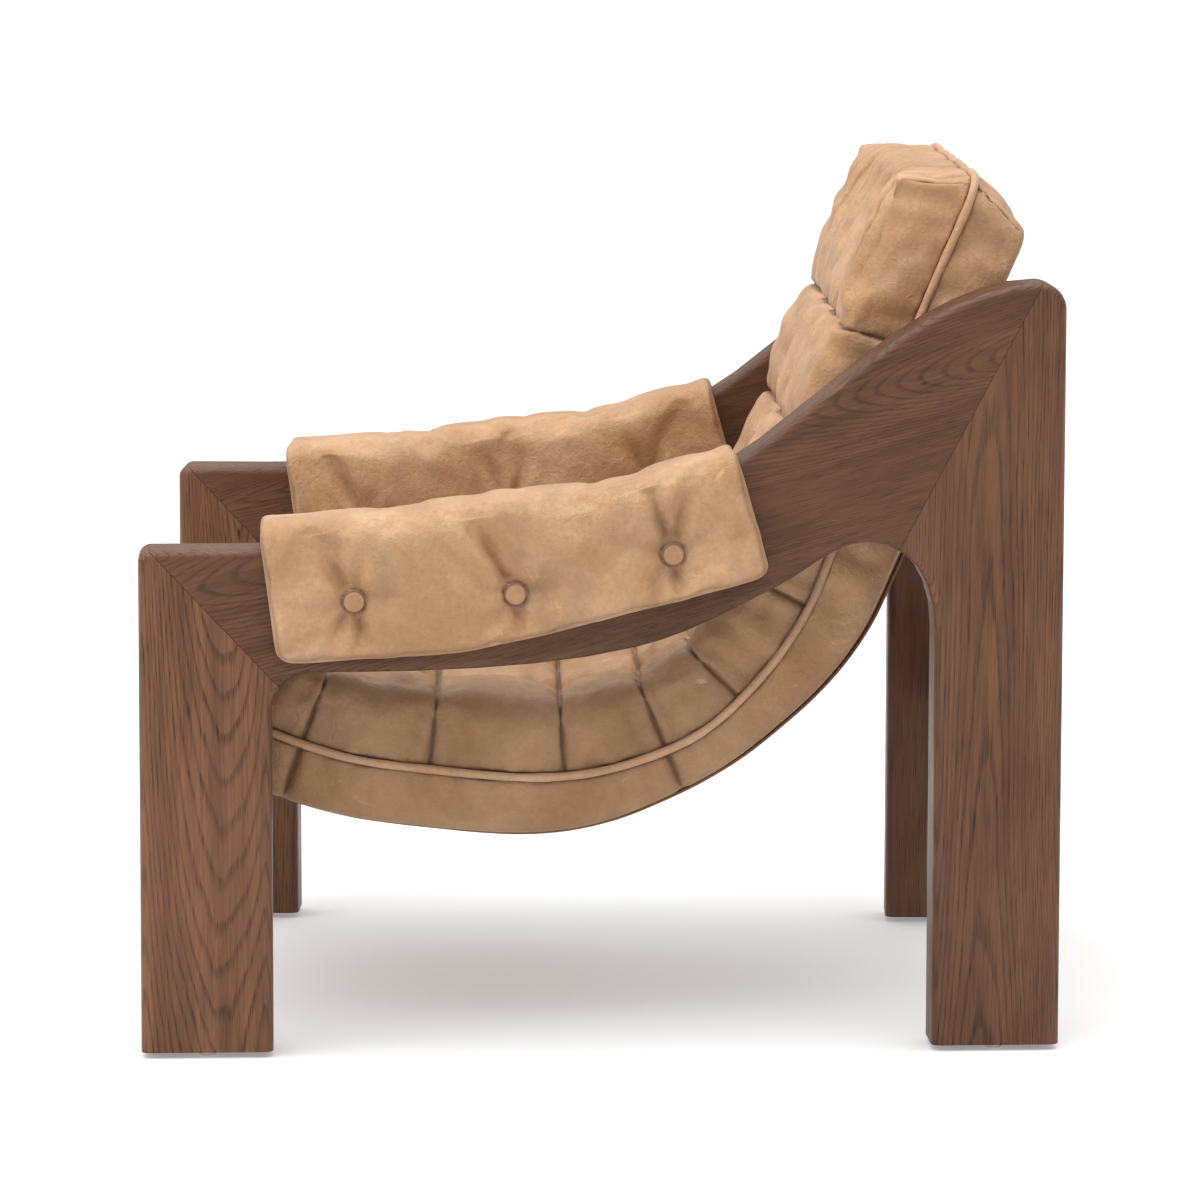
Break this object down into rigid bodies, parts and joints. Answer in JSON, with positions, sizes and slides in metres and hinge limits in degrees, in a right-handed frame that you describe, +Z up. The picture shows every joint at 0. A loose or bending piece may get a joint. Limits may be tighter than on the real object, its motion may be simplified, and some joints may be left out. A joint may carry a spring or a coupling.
{
  "type": "upholstered lounge armchair",
  "caption": "Low lounge armchair: mitred wooden side frames, a leather sling between round rails, a long quilted leather cushion for seat and back, and buttoned leather arm pads.",
  "frame": {"origin": "on the floor, under the middle of the chair's bounding box", "axes": "+Z up, -Y the way the chair faces, +X the sitter's left"},
  "size_m": [0.81, 0.915, 0.8857],
  "materials": {
    "frame_wood": "satin",
    "tenon_wood": "matte",
    "cushion_leather": "matte",
    "button_leather": "matte",
    "sling_leather": "satin",
    "glide_nylon": "satin",
    "insert_steel": "satin"
  },
  "bodies": {
    "chair": {"front_leg_left": "frame_wood", "rear_leg_left": "frame_wood", "arm_rail_left": "frame_wood", "front_mitre_tenon_left": "tenon_wood", "rear_mitre_tenon_left": "tenon_wood", "glide_insert_front_left": "insert_steel", "glide_insert_rear_left": "insert_steel", "arm_pad_left": "cushion_leather", "pad_button_left_outer_1": "button_leather", "pad_button_left_outer_2": "button_leather", "pad_button_left_outer_3": "button_leather", "pad_button_left_inner_1": "button_leather", "pad_button_left_inner_2": "button_leather", "pad_button_left_inner_3": "button_leather", "front_leg_right": "frame_wood", "rear_leg_right": "frame_wood", "arm_rail_right": "frame_wood", "front_mitre_tenon_right": "tenon_wood", "rear_mitre_tenon_right": "tenon_wood", "glide_insert_front_right": "insert_steel", "glide_insert_rear_right": "insert_steel", "arm_pad_right": "cushion_leather", "pad_button_right_outer_1": "button_leather", "pad_button_right_outer_2": "button_leather", "pad_button_right_outer_3": "button_leather", "pad_button_right_inner_1": "button_leather", "pad_button_right_inner_2": "button_leather", "pad_button_right_inner_3": "button_leather", "front_rail": "frame_wood", "top_rail": "frame_wood", "rear_stretcher": "frame_wood", "sling_inner_layer": "sling_leather", "sling_outer_layer": "sling_leather", "cushion_top": "cushion_leather", "cushion_base": "cushion_leather", "cushion_welt": "cushion_leather"},
    "leveller_front_left": {"glide_front_left": "glide_nylon"},
    "leveller_front_right": {"glide_front_right": "glide_nylon"},
    "leveller_rear_left": {"glide_rear_left": "glide_nylon"},
    "leveller_rear_right": {"glide_rear_right": "glide_nylon"}
  },
  "joints": [
    {"name": "glide_screw_front_left", "type": "slide", "parent": "chair", "child": "leveller_front_left", "axis": [0, 0, -1], "range_m": [0, 0.006]},
    {"name": "glide_screw_front_right", "type": "slide", "parent": "chair", "child": "leveller_front_right", "axis": [0, 0, -1], "range_m": [0, 0.006]},
    {"name": "glide_screw_rear_left", "type": "slide", "parent": "chair", "child": "leveller_rear_left", "axis": [0, 0, -1], "range_m": [0, 0.006]},
    {"name": "glide_screw_rear_right", "type": "slide", "parent": "chair", "child": "leveller_rear_right", "axis": [0, 0, -1], "range_m": [0, 0.006]}
  ]
}
